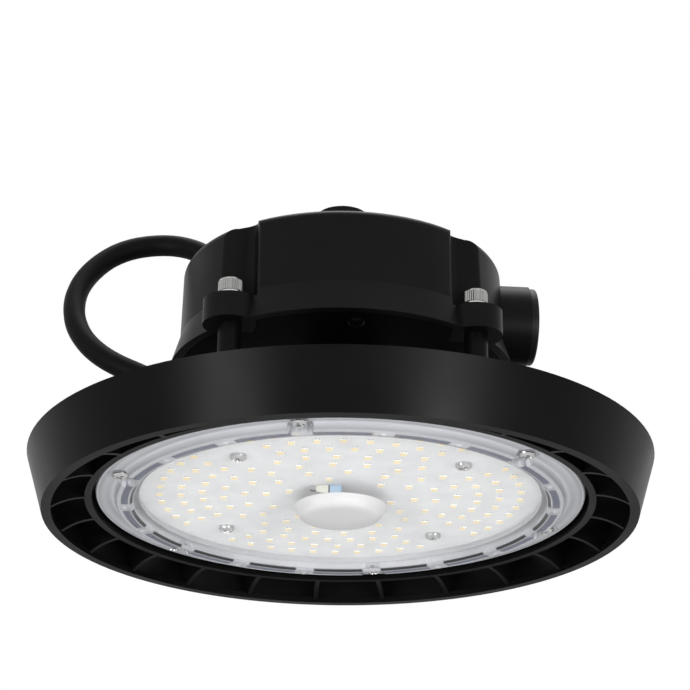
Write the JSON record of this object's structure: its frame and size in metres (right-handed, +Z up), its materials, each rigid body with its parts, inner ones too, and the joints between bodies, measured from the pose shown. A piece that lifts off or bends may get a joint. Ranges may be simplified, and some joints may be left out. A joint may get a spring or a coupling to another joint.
{
  "type": "high bay light",
  "caption": "Round finned high bay light with a lens over its light board, a driver housing above, a threaded hook hole and a mains lead.",
  "frame": {"origin": "centre of the lower rim that the light rests on", "axes": "+Z up out of the hook hole, +X towards the control port, the flat sides of the driver housing along X and Y"},
  "size_m": [0.26, 0.26, 0.1467],
  "materials": {
    "heat_sink": "black powder coat, satin",
    "housing": "black powder coat, satin",
    "base_plate": "cast, black",
    "heat_pad": "matt silicone",
    "led_board": "white solder mask, satin",
    "led_chips": "phosphor, satin",
    "white_plastic": "satin",
    "lens": "clear and frosted, moulded",
    "seal": "matt silicone",
    "steel": "stainless, satin",
    "board_green": "solder mask",
    "ferrite": "sintered, matt",
    "can": "drawn can",
    "wire": "insulated wire",
    "black_plastic": "satin",
    "cord": "satin sheath",
    "cores": "insulated cores"
  },
  "bodies": {
    "root": {"heat_sink": "heat_sink", "heat_pad": "heat_pad", "led_board": "led_board", "led_chips": "led_chips", "board_screws": "steel", "board_terminal": "white_plastic", "board_leads": "wire", "lens_cover": "lens", "lens_gasket": "seal", "lens_screws": "steel", "driver_housing": "housing", "base_gasket": "seal", "base_plate": "base_plate", "base_screws": "steel", "mounting_screws": "steel", "spring_washers": "steel", "flat_washers": "steel", "duct_seal": "seal", "driver_board": "board_green", "driver_board_screws": "steel", "transformer": "ferrite", "capacitors": "can", "choke": "ferrite", "line_terminal": "white_plastic", "port_plug": "black_plastic", "port_ring": "seal", "gland_body": "black_plastic", "gland_seal": "seal", "gland_nut": "black_plastic", "power_cord": "cord", "cord_cores": "cores"}
  },
  "joints": []
}
